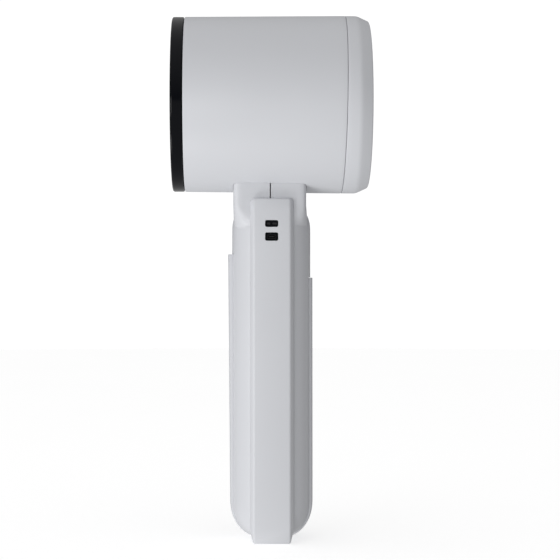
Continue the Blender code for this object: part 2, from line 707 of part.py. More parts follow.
def smooth_route(route, steps=5):
    """Points of a smooth curve through the route (Catmull-Rom)."""
    ends = [route[0], *route, route[-1]]
    points = []
    for a, b, c, d in zip(ends, ends[1:], ends[2:], ends[3:]):
        for i in range(steps):
            t = i / steps
            points.append([0.5 * (2 * q + (r - p) * t + (2 * p - 5 * q + 4 * r - s) * t * t
                                  + (3 * q - p - 3 * r + s) * t ** 3)
                           for p, q, r, s in zip(a, b, c, d)])
    return points + [list(route[-1])]


def main():
    clear_scene()
    barrel_shell()
    front_ring()
    foil_guard()
    foil_frame()
    blade_hub()
    blades()
    hub_spring()
    impeller()
    drive_shaft()
    motor_bulkhead()
    motor()
    motor_small_parts()
    lint_bin_cap()
    lint_bin_cup()
    bin_seal()
    handle_shells(handle_cavity())
    for which in PADS:
        pad(which, f"{which}_grip_pad")
    handle_screws()
    trims()
    window_inserts()
    electronics()
    power_button()
    motor_leads()


main()
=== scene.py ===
"""Looks of the cordless fabric shaver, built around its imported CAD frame, in metres."""

import math

import bmesh
import bpy
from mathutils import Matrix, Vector


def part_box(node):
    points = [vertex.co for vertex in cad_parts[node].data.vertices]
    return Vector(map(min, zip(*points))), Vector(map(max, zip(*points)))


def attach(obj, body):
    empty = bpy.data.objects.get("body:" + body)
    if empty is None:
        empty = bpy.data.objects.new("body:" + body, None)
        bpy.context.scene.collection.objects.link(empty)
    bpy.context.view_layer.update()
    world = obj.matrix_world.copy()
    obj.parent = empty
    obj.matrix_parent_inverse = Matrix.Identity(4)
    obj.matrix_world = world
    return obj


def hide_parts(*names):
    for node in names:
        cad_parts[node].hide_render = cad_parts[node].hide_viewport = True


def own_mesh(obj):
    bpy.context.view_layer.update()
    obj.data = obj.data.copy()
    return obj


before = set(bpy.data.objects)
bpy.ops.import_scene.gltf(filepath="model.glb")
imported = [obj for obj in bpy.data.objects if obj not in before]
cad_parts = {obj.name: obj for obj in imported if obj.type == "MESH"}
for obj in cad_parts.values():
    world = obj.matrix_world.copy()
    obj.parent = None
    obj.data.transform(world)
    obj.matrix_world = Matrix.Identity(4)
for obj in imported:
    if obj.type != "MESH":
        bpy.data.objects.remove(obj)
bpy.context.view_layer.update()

MM = 0.001
FINE = 192

# Head, read from the frame
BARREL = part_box("barrel_shell")
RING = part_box("front_ring")
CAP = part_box("lint_bin_cap")
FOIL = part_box("foil_guard")
HOLE_PITCH = 1.9 * MM
HOLE_R = 0.62 * MM
HOLE_FIELD_R = 23.6 * MM
ROW_STEP = 0.866 * HOLE_PITCH
HEAD_Z = (CAP[0].z + CAP[1].z) / 2
REAR_R = (CAP[1].z - CAP[0].z) / 2
FRONT_R = (RING[1].z - RING[0].z) / 2 + 0.05 * MM
HEAD_FRONT = RING[0].x
RING_BORE_R = 27.2 * MM
RING_LIP_R = 25.6 * MM
HEAD_REAR = CAP[1].x
PARTING_X = 24.7 * MM
PARTING_GAP = 0.12 * MM
PARTING_LEAN = math.tan(math.radians(1.0))
PARTING_CLEAR = 1.7 * MM
BARREL_WALL = 2.2 * MM
CAP_SLOPE = math.radians(27)
CAP_BEND = (28.2 * MM, 4.2 * MM)
CAP_WALL = 2.0 * MM

# Handle
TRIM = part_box("side_trim_near")
HANDLE_X = (TRIM[0].x + TRIM[1].x) / 2
TRIM_FOOT_HALF_X = (TRIM[1].x - TRIM[0].x) / 2
TRIM_FACE_HALF_X = 6.2 * MM
TRIM_SLOPE_Y = 2.0 * MM
TRIM_FACE_Y = -TRIM[0].y
BODY_HALF = (13.3 * MM, 14.0 * MM)
BODY_POWER = 2.3
BODY_LOW_Z = 0.25 * MM
BODY_TOP_Z = TRIM[1].z
LOW_END = 13.2 * MM
DEEP_END = 4.0 * MM
TOP_END = 11.0 * MM
WIDE_POWER = 2.3
DEEP_POWER = 2.2
TOP_POWER = 2.5
SHELL_WALL = 2.2 * MM
SEAM_X = -0.2 * MM
SEAM_GAP = 0.36 * MM
CUT_GAP = 0.12 * MM
TRIM_GAP = 0.06 * MM
NECK_HALF = (12.25 * MM, 12.1 * MM)
NECK_X = -0.35 * MM
NECK_LOW_Z = 103.5 * MM
NECK_SQUARE_Z = 113.0 * MM
NECK_TOP_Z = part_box("handle_front_shell")[1].z
NECK_POWER = 14.0
NECK_SPREAD = (0.35 * MM, 0.9 * MM)
WINDOW_WAY = ((-3.2 * MM, -16 * MM, 99.5 * MM), (3.4 * MM, -9 * MM, 109 * MM))
WINDOW_X = 0.2 * MM
WINDOWS = {"upper": (106.8 * MM, 4.4 * MM, 2.3 * MM), "lower": (102.45 * MM, 4.4 * MM, 2.8 * MM)}
WINDOW_CORNER = 0.6 * MM
BUTTON_Z = 97.6 * MM
BUTTON_R = 5.5 * MM
BUTTON_WAY_R = BUTTON_R + 0.15 * MM
PANE_GAP = 0.1 * MM
PADS = {
    "front": {"side": -1, "high": 96.7 * MM, "reach": math.radians(15), "proud": (0.6 * MM, 1.4 * MM)},
    "rear": {"side": 1, "high": 88.8 * MM, "reach": math.radians(20), "proud": (0.8 * MM, 0.75 * MM)},
}
PAD_LOW_Z = 1.65 * MM
PAD_SUNK = 0.9 * MM


# ---------------------------------------------------------------- mesh tools

def finish_mesh(name, bm, sharp=35):
    bmesh.ops.recalc_face_normals(bm, faces=bm.faces)
    mesh = bpy.data.meshes.new(name)
    bm.to_mesh(mesh)
    bm.free()
    mesh.shade_smooth()
    mesh.set_sharp_from_angle(angle=math.radians(sharp))
    made = bpy.data.objects.new(name, mesh)
    bpy.context.scene.collection.objects.link(made)
    return made


def loft_rings(bm, rings, closed=False):
    """Joins rings of points with quads, then fills the two ends or closes the loop."""
    made = [[bm.verts.new(point) for point in ring] for ring in rings]
    pairs = list(zip(made, made[1:]))
    if closed:
        pairs.append((made[-1], made[0]))
    for low, high in pairs:
        count = max(len(low), len(high))
        for i in range(count):
            j = (i + 1) % count
            corners = [low[i % len(low)], low[j % len(low)], high[j % len(high)], high[i % len(high)]]
            bm.faces.new(list(dict.fromkeys(corners)))
    if not closed:
        for end in (made[0], made[-1]):
            if len(end) > 2:
                bm.faces.new(end)


def turned(name, profile, steps=FINE, sharp=35, at=(0, 0, HEAD_Z)):
    """Turns a section of (x, radius) points about the head's axis, or a parallel one."""
    bm = bmesh.new()
    rings = []
    for x, radius in profile:
        count = steps if radius > 0 else 1
        turns = [2 * math.pi * i / steps for i in range(count)]
        rings.append([(at[0] + x, at[1] + radius * math.cos(a), at[2] + radius * math.sin(a))
                      for a in turns])
    loft_rings(bm, rings, closed=profile[0][1] > 0)
    return finish_mesh(name, bm, sharp)


def prism(name, outline, low, high, axis="X"):
    def place(u, v, along):
        return {"X": (along, u, v), "Y": (u, along, v), "Z": (u, v, along)}[axis]
    bm = bmesh.new()
    loft_rings(bm, [[place(u, v, along) for u, v in outline] for along in (low, high)])
    return finish_mesh(name, bm)


def block(name, low, high, bevel=0.0):
    bm = bmesh.new()
    bmesh.ops.create_cube(bm, size=1.0)
    for vert in bm.verts:
        for i in range(3):
            vert.co[i] = (low[i] + high[i]) / 2 + vert.co[i] * (high[i] - low[i])
    if bevel:
        bmesh.ops.bevel(bm, geom=bm.edges, offset=bevel, segments=3, profile=0.5, affect="EDGES")
    return finish_mesh(name, bm)


def arc(centre, radius, start, end, steps=8):
    """Points of an arc in a section, between two angles in degrees."""
    turns = [math.radians(start + (end - start) * i / steps) for i in range(steps + 1)]
    return [(centre[0] + radius * math.cos(a), centre[1] + radius * math.sin(a)) for a in turns]


def rounded_rectangle(half_u, half_v, corner, centre, steps=6):
    points = []
    for quarter, (su, sv) in enumerate(((1, 1), (-1, 1), (-1, -1), (1, -1))):
        middle = (centre[0] + su * (half_u - corner), centre[1] + sv * (half_v - corner))
        points += arc(middle, corner, 90 * quarter, 90 * quarter + 90, steps)
    return points


def bake_modifiers(piece, sharp=35):
    """Replaces a piece's mesh with what its modifiers make of it."""
    graph = bpy.context.evaluated_depsgraph_get()
    mesh = bpy.data.meshes.new_from_object(piece.evaluated_get(graph))
    piece.modifiers.clear()
    piece.data = mesh
    mesh.shade_smooth()
    mesh.set_sharp_from_angle(angle=math.radians(sharp))
    return piece


def combine(piece, tools, operation="DIFFERENCE"):
    """Cuts, joins or intersects a piece with other objects, which are then removed."""
    for tool in tools:
        step = piece.modifiers.new("combine", "BOOLEAN")
        step.operation = operation
        step.object = tool
        step.solver = "EXACT"
    bake_modifiers(piece)
    for tool in tools:
        bpy.data.objects.remove(tool, do_unlink=True)
    return piece


def round_edges(piece, width, segments=3, limit=40, sharp=35):
    step = piece.modifiers.new("round edges", "BEVEL")
    step.width = width
    step.segments = segments
    step.limit_method = "ANGLE"
    step.angle_limit = math.radians(limit)
    step.harden_normals = False
    return bake_modifiers(piece, sharp)


# ---------------------------------------------------------------- materials

class Nodes:
    """A short way to add and join a material's nodes."""

    def __init__(self, name):
        self.material = bpy.data.materials.new(name)
        self.material.use_nodes = True
        self.tree = self.material.node_tree
        self.shader = self.tree.nodes["Principled BSDF"]
        self.coords = self.tree.nodes.new("ShaderNodeTexCoord").outputs["Object"]

    def add(self, kind, values=None, **inputs):
        node = self.tree.nodes.new(kind)
        for key, value in (values or {}).items():
            setattr(node, key, value)
        for key, value in inputs.items():
            socket = node.inputs[key.replace("_", " ")]
            if isinstance(value, bpy.types.NodeSocket):
                self.tree.links.new(value, socket)
            else:
                socket.default_value = value
        return node

    def noise(self, scale, detail=3.0, stretch=None, roughness=0.5):
        coords = self.coords
        if stretch:
            coords = self.add("ShaderNodeMapping", Vector=coords, Scale=stretch).outputs[0]
        return self.add("ShaderNodeTexNoise", Vector=coords, Scale=scale, Detail=detail,
                        Roughness=roughness).outputs["Fac"]

    def ramp(self, factor, low, high):
        return self.add("ShaderNodeMapRange", Value=factor, To_Min=low, To_Max=high).outputs[0]

    def tint(self, factor, low, high):
        node = self.add("ShaderNodeMix", {"data_type": "RGBA"})
        self.tree.links.new(factor, node.inputs[0])
        node.inputs[6].default_value = (*low, 1)
        node.inputs[7].default_value = (*high, 1)
        return node.outputs[2]

    def bump(self, height, distance, strength=1.0):
        made = self.add("ShaderNodeBump", Height=height, Distance=distance, Strength=strength)
        self.link(made.outputs[0], "Normal")

    def link(self, output, name):
        self.tree.links.new(output, self.shader.inputs[name])

    def set(self, **values):
        for key, value in values.items():
            self.shader.inputs[key.replace("_", " ")].default_value = value
        return self


def shade(colour, factor):
    return tuple(min(1.0, c * factor) for c in colour)


def moulded(name, colour, roughness, spread=0.05, grain=0.006 * MM, grain_scale=2600, vary=0.02, **values):
    """Moulded plastic: slow tone changes, uneven gloss and a fine eroded grain."""
    nodes = Nodes(name)
    cloud = nodes.noise(35, 4)
    nodes.link(nodes.tint(cloud, shade(colour, 1 - vary), shade(colour, 1 + vary)), "Base Color")
    nodes.link(nodes.ramp(nodes.noise(180, 5), roughness - spread, roughness + spread), "Roughness")
    nodes.bump(nodes.noise(grain_scale, 2), grain)
    return nodes.set(**values).material


def metal(name, colour, roughness, stretch, scale=900, grain=0.004 * MM):
    """Metal with a drawn or ground grain."""
    nodes = Nodes(name)
    lines = nodes.noise(scale, 4, stretch)
    nodes.link(nodes.tint(lines, shade(colour, 0.86), shade(colour, 1.06)), "Base Color")
    nodes.link(nodes.ramp(lines, roughness - 0.07, roughness + 0.1), "Roughness")
    nodes.bump(lines, grain)
    return nodes.set(Metallic=1.0).material


def laminated(name):
    """Stacked steel sheets of the armature, seen as fine lines along the shaft."""
    nodes = Nodes(name)
    sheets = nodes.add("ShaderNodeTexWave", {"bands_direction": "X"}, Vector=nodes.coords, Scale=620.0,
                       Distortion=0.4).outputs["Fac"]
    nodes.link(nodes.tint(sheets, (0.16, 0.16, 0.17), (0.42, 0.42, 0.43)), "Base Color")
    nodes.link(nodes.ramp(nodes.noise(300), 0.35, 0.55), "Roughness")
    nodes.bump(sheets, 0.02 * MM)
    return nodes.set(Metallic=1.0).material


def circuit_board(name):
    nodes = Nodes(name)
    tracks = nodes.add("ShaderNodeTexBrick", Vector=nodes.coords, Scale=420.0,
                       Mortar_Size=0.06).outputs["Fac"]
    nodes.link(nodes.tint(tracks, (0.015, 0.13, 0.055), (0.03, 0.24, 0.1)), "Base Color")
    nodes.link(nodes.ramp(nodes.noise(400), 0.3, 0.45), "Roughness")
    nodes.bump(tracks, 0.03 * MM)
    return nodes.material


def make_materials():
    white = (0.635, 0.645, 0.675)
    return {
        "white": moulded("white_satin", white, 0.42),
        "panel": moulded("white_panel", shade(white, 1.0), 0.5, grain=0.009 * MM),
        "ring": moulded("black_gloss", (0.0035, 0.004, 0.0055), 0.11, 0.03, 0.001 * MM, vary=0.1,
                        Specular_IOR_Level=0.12),
        "black": moulded("black_moulded", (0.022, 0.022, 0.024), 0.5, vary=0.12),
        "smoke": moulded("smoke_plastic", (0.16, 0.17, 0.18), 0.2, 0.05, 0.002 * MM, vary=0.06,
                         Coat_Weight=0.3),
        "window": moulded("window_black", (0.004, 0.0045, 0.006), 0.2, 0.04, 0.001 * MM, vary=0.1,
                          Specular_IOR_Level=0.15),
        "rubber": moulded("seal_rubber", (0.03, 0.03, 0.031), 0.75, grain=0.012 * MM, vary=0.1),
        "foil": metal("foil_steel", (0.5, 0.5, 0.51), 0.32, (1, 1, 14)),
        "steel": metal("ground_steel", (0.60, 0.60, 0.61), 0.3, (14, 1, 1)),
        "blade": metal("blade_steel", (0.72, 0.72, 0.73), 0.2, (1, 9, 9), 1400),
        "can": metal("motor_steel", (0.52, 0.53, 0.55), 0.34, (1, 12, 12)),
        "laminated": laminated("laminated_steel"),
        "copper": metal("copper_alloy", (0.75, 0.42, 0.24), 0.3, (1, 8, 8)),
        "board": circuit_board("circuit_board"),
        "sleeve": moulded("battery_sleeve", (0.05, 0.17, 0.36), 0.28, 0.06, 0.004 * MM, vary=0.08),
        "lens": moulded("led_lens", (0.012, 0.012, 0.014), 0.3, 0.05, 0.003 * MM, vary=0.06),
        "socket": metal("socket_steel", (0.024, 0.024, 0.026), 0.4, (1, 9, 1)),
        "wire_red": moulded("wire_red", (0.5, 0.02, 0.02), 0.5, vary=0.06),
        "wire_black": moulded("wire_black", (0.02, 0.02, 0.02), 0.5, vary=0.06),
    }


MATERIALS = make_materials()


def dress(piece, material, body, slot, *nodes):
    """Gives a new piece its material and body, and hides the CAD nodes it stands for; the slot argument is
    not used.
    """
    piece.data.materials.clear()
    piece.data.materials.append(MATERIALS[material])
    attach(piece, body)
    if nodes:
        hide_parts(*nodes)
    return piece


def dress_frame():
    """Materials for the CAD nodes that are shown as they are."""
    looks = {
        "black": ("foil_frame", "blade_hub", "impeller", "motor_bulkhead", "motor_end_cap", "switch_body"),
        "smoke": ("lint_bin_cup",),
        "rubber": ("bin_seal",),
        "blade": tuple(f"blade_{i}" for i in range(1, 7)),
        "steel": ("drive_shaft", "motor_screw_1", "motor_screw_2", "handle_screw_upper",
                  "handle_screw_lower", "battery_tab_top", "battery_tab_bottom"),
        "can": ("motor_can",),
        "laminated": ("armature",),
        "copper": ("commutator", "motor_front_bush", "motor_terminal_1", "motor_terminal_2"),
        "board": ("control_board",),
        "sleeve": ("battery_cell",),
        "wire_red": ("motor_lead_1",),
        "wire_black": ("motor_lead_2",),
    }
    for look, names in looks.items():
        for name in names:
            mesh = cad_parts[name].data
            mesh.materials.clear()
            mesh.materials.append(MATERIALS[look])


# ---------------------------------------------------------------- head

def lean_parting(piece, reach=0.8 * MM):
    """Leans the parting plane between the barrel and the bin cap."""
    for vert in piece.data.vertices:
        if abs(vert.co.x - PARTING_X) < reach:
            vert.co.x += PARTING_LEAN * (vert.co.z - HEAD_Z)


def make_barrel():
    """The tube that ends in a small rounded lip at the parting line."""
    start, end = BARREL[0].x, PARTING_X - PARTING_GAP / 2
    fillet = 0.3 * MM
    profile = [(start, FRONT_R - BARREL_WALL)]
    profile += arc((start + fillet, FRONT_R - fillet), fillet, 180, 90, 4)
    lip = 0.2 * MM
    profile += [(end - PARTING_CLEAR, REAR_R)] + arc((end - lip, REAR_R - lip), lip, 90, 0, 4)
    profile += [(end, REAR_R - BARREL_WALL)]
    piece = turned("barrel", profile)
    lean_parting(piece)
    combine(piece, [make_neck("neck_cutter", CUT_GAP, NECK_TOP_Z + 8 * MM)])
    dress(piece, "white", "housing", "white_body", "barrel_shell")


def make_cap():
    """The bin's cap, which turns in over a soft shoulder and a sloping rim to a flat end."""
    start, fillet = PARTING_X + PARTING_GAP / 2, 0.2 * MM
    bend_x, bend = CAP_BEND
    shoulder = arc((bend_x, REAR_R - bend), bend, 90, 90 - math.degrees(CAP_SLOPE), 10)
    edge, rim = 0.8 * MM, HEAD_REAR
    run = rim - edge * 0.6 - shoulder[-1][0]
    corner = (shoulder[-1][0] + run, shoulder[-1][1] - run * math.tan(CAP_SLOPE))
    centre = (rim - edge, corner[1] - edge * 0.75)
    profile = [(rim - CAP_WALL, 0), (rim - CAP_WALL, REAR_R - 5.0 * MM),
               (29.5 * MM, REAR_R - CAP_WALL), (start, REAR_R - CAP_WALL)]
    profile += arc((start + fillet, REAR_R - fillet), fillet, 180, 90, 4)
    profile += [(start + PARTING_CLEAR, REAR_R)] + shoulder
    profile += arc(centre, edge, 90 - math.degrees(CAP_SLOPE), 0, 8)
    profile += [(rim, 0)]
    piece = turned("bin_cap", profile, sharp=50)
    lean_parting(piece)
    dress(piece, "white", "lint_bin", "white_body", "lint_bin_cap")


def make_ring():
    """The glossy ring that holds the foil, rounded at its front edge."""
    outer, fillet = FRONT_R - 0.05 * MM, 0.7 * MM
    bore, lip = RING_BORE_R, RING_LIP_R
    front, rear, seat = HEAD_FRONT, RING[1].x, FOIL[0].x - 0.3 * MM
    profile = [(seat, lip), (front + 0.35 * MM, lip), (front, lip + 0.45 * MM)]
    profile += arc((front + fillet, outer - fillet), fillet, 180, 90, 8)
    profile += arc((rear - 0.3 * MM, outer - 0.3 * MM), 0.3 * MM, 90, 0, 4)
    profile += [(rear, bore), (seat, bore)]
    dress(turned("cutter_ring", profile), "ring", "ring", "black_gloss", "front_ring")


def make_foil():
    """Steel foil with a hexagonal field of fine holes."""
    start, end = FOIL[0].x, FOIL[1].x
    radius = (FOIL[1].z - FOIL[0].z) / 2
    profile = [(start, 0), (start, radius - 0.1 * MM), (start + 0.1 * MM, radius), (end, radius), (end, 0)]
    piece = turned("foil", profile, 120)
    bm = bmesh.new()
    rows = int(HOLE_FIELD_R / ROW_STEP) + 1
    for row in range(-rows, rows + 1):
        for column in range(-rows, rows + 1):
            y = HOLE_PITCH * (column + 0.5 * (row % 2))
            z = ROW_STEP * row
            if math.hypot(y, z) > HOLE_FIELD_R:
                continue
            outline = arc((y, z), HOLE_R, 0, 324, 9)
            loft_rings(bm, [[(x, u, HEAD_Z + v) for u, v in outline] for x in (start - MM, end + MM)])
    combine(piece, [finish_mesh("foil_cutter", bm)])
    dress(piece, "foil", "foil_cassette", "steel", "foil_guard")


def make_spring():
    """A round-wire coil spring behind the blade hub, built at its rest length; the real one shortens as the
    hub floats back.
    """
    low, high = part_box("hub_spring")
    wire, turns, steps, sides = 0.28 * MM, 3.5, 48, 12
    radius = (high.z - low.z) / 2 - wire
    rings = []
    for i in range(int(turns * steps) + 1):
        turn = 2 * math.pi * i / steps
        along = low.x + wire + (high.x - low.x - 2 * wire) * i / (turns * steps)
        section = arc((0, 0), wire, 0, 360 - 360 / sides, sides - 1)
        rings.append([(along + u, (radius + v) * math.cos(turn), HEAD_Z + (radius + v) * math.sin(turn))
                      for u, v in section])
    bm = bmesh.new()
    loft_rings(bm, rings)
    piece = dress(finish_mesh("hub_coil", bm, 60), "steel", "cutter", "steel", "hub_spring")
    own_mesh(piece)


# ---------------------------------------------------------------- handle

def end_factor(z, low, top, low_end, top_end, low_power):
    """The share of its full size that the handle has at a height, as its ends round off."""
    factor = 1.0
    if z < low + low_end:
        factor = (1 - min(1, (low + low_end - z) / low_end) ** low_power) ** (1 / low_power)
    if z > top - top_end:
        factor = (1 - min(1, (z - top + top_end) / top_end) ** TOP_POWER) ** (1 / TOP_POWER)
    return factor


def body_half_sizes(z, grow=0.0):
    low, top = BODY_LOW_Z - grow, BODY_TOP_Z + grow
    wide = end_factor(z, low, top, LOW_END + grow, TOP_END + grow, WIDE_POWER)
    deep = end_factor(z, low, top, DEEP_END + grow, TOP_END + grow, DEEP_POWER)
    return (BODY_HALF[0] + grow) * wide, (BODY_HALF[1] + grow) * deep


def power_point(half_x, half_y, turn, power=BODY_POWER, shift=HANDLE_X):
    """A point of the handle's section, which is a superellipse."""
    c, s = math.cos(turn), math.sin(turn)
    x = half_x * math.copysign(abs(c) ** (2 / power), c)
    y = half_y * math.copysign(abs(s) ** (2 / power), s)
    return shift + x, y


def make_body(name, grow=0.0, steps=128, rows=20):
    low, top = BODY_LOW_Z - grow, BODY_TOP_Z + grow
    ends = [1 - math.cos(math.pi / 2 * i / rows) for i in range(rows + 1)]
    below = [low + (LOW_END + grow) * e for e in ends]
    above = [top - (TOP_END + grow) * e for e in reversed(ends)]
    below[0] += 0.01 * MM
    above[-1] -= 0.01 * MM
    middle = [below[-1] + (above[0] - below[-1]) * i / 12 for i in range(1, 12)]
    bm = bmesh.new()
    rings = []
    for z in below + middle + above:
        half = body_half_sizes(z, grow)
        rings.append([(*power_point(*half, 2 * math.pi * (i + 0.5) / steps), z) for i in range(steps)])
    loft_rings(bm, rings)
    return finish_mesh(name, bm)


def make_neck(name, grow, high, steps=120, rows=12):
    """The neck is nearly square above and takes the handle's own section as it sinks into it."""
    bm = bmesh.new()
    rings = []
    levels = [NECK_LOW_Z + (NECK_SQUARE_Z - NECK_LOW_Z) * i / rows for i in range(rows + 1)]
    for z in levels + [(NECK_SQUARE_Z + high) / 2, high]:
        share = min(1.0, (z - NECK_LOW_Z) / (NECK_SQUARE_Z - NECK_LOW_Z))
        half_x = NECK_HALF[0] + (1 - share) * NECK_SPREAD[0] + grow
        half_y = NECK_HALF[1] + (1 - share) * NECK_SPREAD[1] + grow
        power = BODY_POWER + (NECK_POWER - BODY_POWER) * share ** 2
        shift = NECK_X + (1 - share) * (HANDLE_X - NECK_X)
        turns = [2 * math.pi * (i + 0.5) / steps for i in range(steps)]
        rings.append([(*power_point(half_x, half_y, turn, power, shift), z) for turn in turns])
    loft_rings(bm, rings)
    return finish_mesh(name, bm)


def make_pad(name, which, gap=0.0, rows=40, bent_rows=16, columns=28):
    """A grip panel that follows the handle's surface and stands proud of it."""
    spec = PADS[which]
    side, low, high = spec["side"], PAD_LOW_Z - gap, spec["high"] + gap
    reach = spec["reach"] + gap / BODY_HALF[0]
    curved = BODY_LOW_Z + LOW_END
    turns = [math.pi / 2 * i / bent_rows for i in range(bent_rows + 1)]
    levels = [low + (curved - low) * (1 - math.cos(turn)) for turn in turns]
    flat_rows = rows - bent_rows
    levels += [curved + (high - curved) * i / flat_rows for i in range(1, flat_rows + 1)]
    grids = []
    for sunk in (True, False):
        grid = []
        for z in levels:
            half = body_half_sizes(z)
            share = (z - PAD_LOW_Z) / (spec["high"] - PAD_LOW_Z)
            proud = spec["proud"][0] + (spec["proud"][1] - spec["proud"][0]) * share + 3 * gap
            depth = -PAD_SUNK - gap if sunk else proud
            line = []
            for column in range(columns + 1):
                x, y = power_point(*half, reach * (2 * column / columns - 1))
                line.append((HANDLE_X + side * (x - HANDLE_X + depth), y, z))
            grid.append(line)
        grids.append(grid)
    bm = bmesh.new()
    inner, outer = [[[bm.verts.new(p) for p in line] for line in grid] for grid in grids]
    last_row, last = len(levels) - 1, columns
    for grid in (inner, outer):
        for r in range(last_row):
            for c in range(last):
                bm.faces.new([grid[r][c], grid[r][c + 1], grid[r + 1][c + 1], grid[r + 1][c]])
    for r in range(last_row):
        for c in (0, last):
            bm.faces.new([inner[r][c], inner[r + 1][c], outer[r + 1][c], outer[r][c]])
    for c in range(last):
        for r in (0, last_row):
            bm.faces.new([inner[r][c], inner[r][c + 1], outer[r][c + 1], outer[r][c]])
    return finish_mesh(name, bm)


def make_shells():
    """The two halves of the handle and neck, cut from one hollow body at the seam."""
    for which, side in (("front", -1), ("rear", 1)):
        piece = make_body(f"handle_{which}")
        combine(piece, [make_neck("neck_solid", 0, NECK_TOP_Z)], "UNION")
        cavity = make_body("cavity", -SHELL_WALL, 64, 10)
        combine(cavity, [make_neck("neck_hollow", -SHELL_WALL, NECK_TOP_Z + 5 * MM, 64)], "UNION")
        edge = SEAM_X + side * SEAM_GAP / 2
        near, far = sorted((edge, edge - side * 30 * MM))
        away = block("beyond", (near, -40 * MM, -10 * MM), (far, 40 * MM, 140 * MM))
        windows = block("window_way", *WINDOW_WAY)
        tools = [cavity, away, make_pad("recess", which, CUT_GAP), windows]
        if which == "rear":
            way = [(8 * MM, 0), (8 * MM, BUTTON_WAY_R), (20 * MM, BUTTON_WAY_R), (20 * MM, 0)]
            tools.append(turned("button_way", way, 72, at=(0, 0, BUTTON_Z)))
        combine(piece, tools)
        dress(piece, "white", "housing", "white_body", f"handle_{which}_shell")


def make_pads():
    """The two raised grip strips, with soft edges."""
    for which in PADS:
        piece = round_edges(make_pad(f"{which}_panel", which), 0.35 * MM, 3, 50)
        dress(piece, "panel", "housing", "grip_panel", f"{which}_grip_pad")


def trim_outline(side, inset):
    """The side trim's outline in (y, z): its face, its leaning top and its flat foot."""
    face, top, low = TRIM_FACE_Y - inset, BODY_TOP_Z - 0.5 * inset, 2 * inset
    points = [(face - 0.9 * MM, low), (face - 0.35 * MM, 5 * MM), (face - 0.1 * MM, 8 * MM), (face, 13 * MM),
              (face, 97 * MM), (face - 0.07 * MM, 101 * MM), (face - 0.25 * MM, 106 * MM),
              (face - 0.55 * MM, 111 * MM), (face - 0.9 * MM, top), (8 * MM, top), (8 * MM, 20 * MM),
              (9 * MM, 12 * MM), (9 * MM, low)]
    return [(side * y, z) for y, z in points]


def make_trims():
    """The strips over the seam; the near one has the two small windows."""
    sections = [(-TRIM_FOOT_HALF_X, TRIM_SLOPE_Y), (-TRIM_FACE_HALF_X, 0),
                (TRIM_FACE_HALF_X, 0), (TRIM_FOOT_HALF_X, TRIM_SLOPE_Y)]
    for which, side in (("near", -1), ("far", 1)):
        bm = bmesh.new()
        loft_rings(bm, [[(HANDLE_X + x, y, z) for y, z in trim_outline(side, inset)]
                        for x, inset in sections])
        piece = round_edges(finish_mesh(f"trim_{which}", bm), 0.6 * MM, 5, 25)
        combine(piece, [make_body("around", TRIM_GAP), make_neck("neck_around", TRIM_GAP, NECK_TOP_Z)])
        if side < 0:
            cutters = []
            for z, width, height in WINDOWS.values():
                outline = rounded_rectangle(width / 2, height / 2, WINDOW_CORNER, (WINDOW_X, z))
                cutters.append(prism("window", outline, -20 * MM, -8 * MM, "Y"))
            combine(piece, cutters)
        dress(piece, "white", "housing", "white_body", f"side_trim_{which}")


def make_button():
    """The thumb button, cut to the handle's own surface."""
    piece = turned("thumb_button", [
        (8.2 * MM, 0), (8.2 * MM, 1.5 * MM), (8.9 * MM, 1.5 * MM), (8.9 * MM, 6.3 * MM),
        (9.6 * MM, 6.3 * MM), (9.6 * MM, BUTTON_R), (16 * MM, BUTTON_R), (16 * MM, 0),
    ], 96, at=(0, 0, BUTTON_Z))
    combine(piece, [make_body("button_face", 0, 160, 24)], "INTERSECT")
    round_edges(piece, 0.18 * MM, 2, 60)
    dress(piece, "white", "button", "white_body", "power_button")


# ---------------------------------------------------------------- windows

PANE_THICK = 0.9 * MM
LAMP_HALF_Z = 0.32 * MM
LAMP_CORNER = 0.2 * MM
LAMP_GAP = 0.03 * MM
PANE_CORNER = 0.5 * MM
SOCKET_GAP = 0.02 * MM
SOCKET_WAY_CORNER = 0.4 * MM
SOCKET_HALF = (1.5 * MM, 0.7 * MM)
SOCKET_WALL = 0.22 * MM
SOCKET_CORNER = 0.38 * MM
MOUTH_CORNER = 0.2 * MM
TONGUE_HALF = (0.95 * MM, 0.12 * MM)


